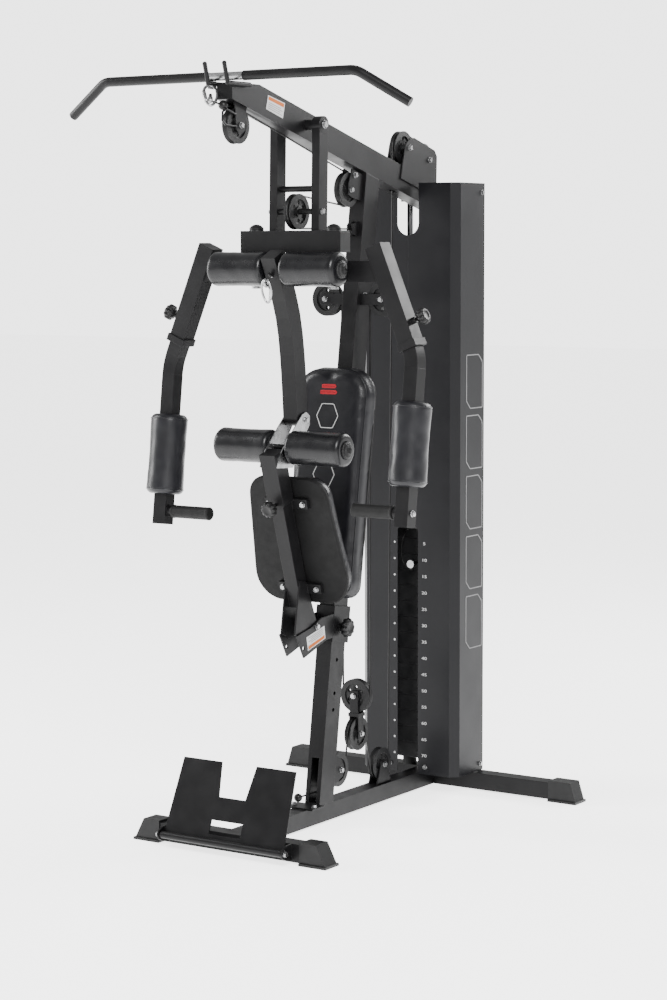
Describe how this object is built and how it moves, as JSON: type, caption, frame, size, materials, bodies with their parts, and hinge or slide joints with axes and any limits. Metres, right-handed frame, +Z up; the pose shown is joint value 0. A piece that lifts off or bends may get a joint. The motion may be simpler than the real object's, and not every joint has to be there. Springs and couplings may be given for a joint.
{
  "type": "multi station home gym",
  "caption": "Home gym with a shrouded weight stack, lat bar, press and fly arms, low pulley, fold-up seat, leg developer and backrest on one tubular frame.",
  "frame": {"origin": "centre of the bounding box at floor level, under the middle of the base tube", "axes": "+Z up, -Y the front, which a seated user faces, +X on the right when the machine is seen from its front"},
  "size_m": [1.111, 1.153, 2.121],
  "materials": {
    "frame_paint": "satin black powder coat with a fine grain",
    "shroud_paint": "satin black powder coat on sheet steel",
    "plastic": "moulded black plastic",
    "chrome": "bright zinc and chrome",
    "rubber": "black rubber",
    "stack": "black painted plates",
    "vinyl": "black vinyl with a fine leather grain",
    "foam": "black vinyl-skinned foam",
    "cable": "black coated steel cable",
    "bar_grip": "black bar with a bright middle",
    "pulley": "moulded black nylon"
  },
  "bodies": {
    "frame": {"front_stabiliser": "frame_paint", "rear_stabiliser": "frame_paint", "base_tube": "frame_paint", "stabiliser_feet": "plastic", "main_upright": "frame_paint", "top_beam": "frame_paint", "frame_bolts": "chrome", "bar_hooks": "frame_paint", "pulley_forks": "frame_paint", "rear_pulley_bracket": "frame_paint", "low_pulley_brackets": "frame_paint", "guide_rods": "chrome", "stack_bumpers": "rubber", "fixed_plates": "stack", "shroud_left": "shroud_paint", "shroud_right": "shroud_paint", "backrest_pad": "vinyl", "backrest_mounts": "frame_paint", "main_cable": "cable", "stack_cable": "cable", "upper_cable": "cable", "fly_cable": "cable"},
    "press_arm": {"press_arm": "frame_paint", "press_bolts": "chrome"},
    "fly_left": {"fly_arm_left": "frame_paint"},
    "fly_right": {"fly_arm_right": "frame_paint"},
    "handle_left": {"handle_tube_left": "frame_paint", "arm_pad_left": "vinyl"},
    "handle_right": {"handle_tube_right": "frame_paint", "arm_pad_right": "vinyl"},
    "arm_knob_left": {"arm_knob_left": "plastic"},
    "arm_knob_right": {"arm_knob_right": "plastic"},
    "carrier": {"seat_carrier": "frame_paint"},
    "carrier_knob": {"carrier_knob": "plastic"},
    "seat": {"seat_frame": "frame_paint", "seat_pad": "vinyl"},
    "seat_knob": {"seat_knob": "plastic"},
    "seat_roller_left": {"seat_roller_left": "foam"},
    "seat_roller_right": {"seat_roller_right": "foam"},
    "leg": {"leg_arm": "frame_paint"},
    "leg_roller_left": {"leg_roller_left": "foam"},
    "leg_roller_right": {"leg_roller_right": "foam"},
    "footplate": {"footplate": "frame_paint"},
    "lat_bar": {"lat_bar": "bar_grip"},
    "stack": {"lifted_plates": "stack", "stack_stem": "chrome", "pin_cord": "cable"},
    "selector_pin": {"selector_pin": "chrome"},
    "floating_block": {"floating_block": "frame_paint"},
    "front_pulley": {"front_pulley": "pulley"},
    "upright_pulley": {"upright_pulley": "pulley"},
    "press_pulley": {"press_pulley": "pulley"},
    "top_pulley_1": {"top_pulley_1": "pulley"},
    "top_pulley_2": {"top_pulley_2": "pulley"},
    "fly_pulley_left": {"fly_pulley_left": "pulley"},
    "fly_pulley_right": {"fly_pulley_right": "pulley"},
    "floating_pulley_1": {"floating_pulley_1": "pulley"},
    "floating_pulley_2": {"floating_pulley_2": "pulley"},
    "low_pulley": {"low_pulley": "pulley"},
    "base_pulley": {"base_pulley": "pulley"}
  },
  "joints": [
    {"name": "press_swing", "type": "hinge", "parent": "frame", "child": "press_arm", "pos_m": [0, -0.1745, 1.97], "axis": [1, 0, 0], "range_deg": [0, 10], "deforming": ["upper_cable", "fly_cable"]},
    {"name": "fly_right_swing", "type": "hinge", "parent": "press_arm", "child": "fly_right", "pos_m": [0.129, -0.1975, 1.575], "axis": [0, 0, 1], "range_deg": [0, 15], "deforming": ["fly_cable"]},
    {"name": "fly_left_swing", "type": "hinge", "parent": "press_arm", "child": "fly_left", "pos_m": [-0.129, -0.1975, 1.575], "axis": [0, 0, -1], "range_deg": [0, 15], "deforming": ["fly_cable"]},
    {"name": "handle_right_reach", "type": "slide", "parent": "fly_right", "child": "handle_right", "axis": [0.3811, 0, -0.9245], "range_m": [0, 0.042]},
    {"name": "handle_left_reach", "type": "slide", "parent": "fly_left", "child": "handle_left", "axis": [-0.3811, 0, -0.9245], "range_m": [-0.04, 0.02]},
    {"name": "arm_knob_right_pull", "type": "slide", "parent": "fly_right", "child": "arm_knob_right", "axis": [0.9245, 0, 0.3811], "range_m": [0, 0.01], "stiffness_N_per_m": 600},
    {"name": "arm_knob_left_pull", "type": "slide", "parent": "fly_left", "child": "arm_knob_left", "axis": [-0.9245, 0, 0.3811], "range_m": [0, 0.01], "stiffness_N_per_m": 600},
    {"name": "seat_height", "type": "slide", "parent": "frame", "child": "carrier", "axis": [0, -0.1392, -0.9903], "range_m": [0, 0.1]},
    {"name": "carrier_knob_pull", "type": "slide", "parent": "carrier", "child": "carrier_knob", "axis": [1, 0, 0], "range_m": [0, 0.01], "stiffness_N_per_m": 600},
    {"name": "seat_fold", "type": "hinge", "parent": "carrier", "child": "seat", "pos_m": [0, -0.1425, 0.575], "axis": [1, 0, 0], "range_deg": [0, 73]},
    {"name": "seat_knob_pull", "type": "slide", "parent": "seat", "child": "seat_knob", "axis": [0, -0.9568, -0.2907], "range_m": [0, 0.01], "stiffness_N_per_m": 600},
    {"name": "seat_roller_left_spin", "type": "hinge", "parent": "seat", "child": "seat_roller_left", "pos_m": [-0.119, -0.2595, 1.088], "axis": [1, 0, 0], "continuous": true},
    {"name": "seat_roller_right_spin", "type": "hinge", "parent": "seat", "child": "seat_roller_right", "pos_m": [0.119, -0.2595, 1.088], "axis": [1, 0, 0], "continuous": true},
    {"name": "leg_developer_swing", "type": "hinge", "parent": "seat", "child": "leg", "pos_m": [0, -0.1895, 1.16], "axis": [1, 0, 0], "range_deg": [0, 94]},
    {"name": "leg_roller_left_spin", "type": "hinge", "parent": "leg", "child": "leg_roller_left", "pos_m": [-0.119, -0.2845, 1.577], "axis": [1, 0, 0], "continuous": true},
    {"name": "leg_roller_right_spin", "type": "hinge", "parent": "leg", "child": "leg_roller_right", "pos_m": [0.119, -0.2845, 1.577], "axis": [1, 0, 0], "continuous": true},
    {"name": "footplate_fold", "type": "hinge", "parent": "frame", "child": "footplate", "pos_m": [0, -0.5625, 0.034], "axis": [1, 0, 0], "range_deg": [0, 100]},
    {"name": "lat_bar_lift", "type": "slide", "parent": "frame", "child": "lat_bar", "axis": [0, 0, 1], "range_m": [0, 0.06]},
    {"name": "stack_lift", "type": "slide", "parent": "frame", "child": "stack", "axis": [0, 0, 1], "range_m": [0, 0.5], "deforming": ["stack_cable"]},
    {"name": "selector_pin_pull", "type": "slide", "parent": "stack", "child": "selector_pin", "axis": [0, 1, 0], "range_m": [-0.1, 0], "deforming": ["pin_cord"]},
    {"name": "floating_block_lift", "type": "slide", "parent": "frame", "child": "floating_block", "axis": [0, 0, 1], "range_m": [0, 0.12], "deforming": ["main_cable", "fly_cable"]},
    {"name": "front_pulley_spin", "type": "hinge", "parent": "frame", "child": "front_pulley", "pos_m": [0, -0.4715, 1.958], "axis": [1, 0, 0], "continuous": true},
    {"name": "upright_pulley_spin", "type": "hinge", "parent": "frame", "child": "upright_pulley", "pos_m": [0, 0.0615, 1.798], "axis": [1, 0, 0], "continuous": true},
    {"name": "press_pulley_spin", "type": "hinge", "parent": "press_arm", "child": "press_pulley", "pos_m": [0, -0.1875, 1.734], "axis": [1, 0, 0], "continuous": true},
    {"name": "top_pulley_1_spin", "type": "hinge", "parent": "frame", "child": "top_pulley_1", "pos_m": [0, 0.3555, 1.925], "axis": [1, 0, 0], "continuous": true},
    {"name": "top_pulley_2_spin", "type": "hinge", "parent": "frame", "child": "top_pulley_2", "pos_m": [0, 0.4675, 1.893], "axis": [1, 0, 0], "continuous": true},
    {"name": "fly_pulley_left_spin", "type": "hinge", "parent": "frame", "child": "fly_pulley_left", "pos_m": [-0.095, 0.1115, 1.488], "axis": [0, 1, 0], "continuous": true},
    {"name": "fly_pulley_right_spin", "type": "hinge", "parent": "frame", "child": "fly_pulley_right", "pos_m": [0.095, 0.1115, 1.488], "axis": [0, 1, 0], "continuous": true},
    {"name": "floating_pulley_1_spin", "type": "hinge", "parent": "floating_block", "child": "floating_pulley_1", "pos_m": [0, 0.1115, 0.337], "axis": [0, 1, 0], "continuous": true},
    {"name": "floating_pulley_2_spin", "type": "hinge", "parent": "floating_block", "child": "floating_pulley_2", "pos_m": [0, 0.1095, 0.225], "axis": [1, 0, 0], "continuous": true},
    {"name": "low_pulley_spin", "type": "hinge", "parent": "frame", "child": "low_pulley", "pos_m": [0, 0.0025, 0.137], "axis": [1, 0, 0], "continuous": true},
    {"name": "base_pulley_spin", "type": "hinge", "parent": "frame", "child": "base_pulley", "pos_m": [0, 0.2355, 0.112], "axis": [1, 0, 0], "continuous": true}
  ],
  "couplings": [
    {"joint": "top_pulley_1_spin", "follows": "stack_lift", "rad_per_m": 21.692},
    {"joint": "top_pulley_2_spin", "follows": "stack_lift", "rad_per_m": 21.692}
  ]
}
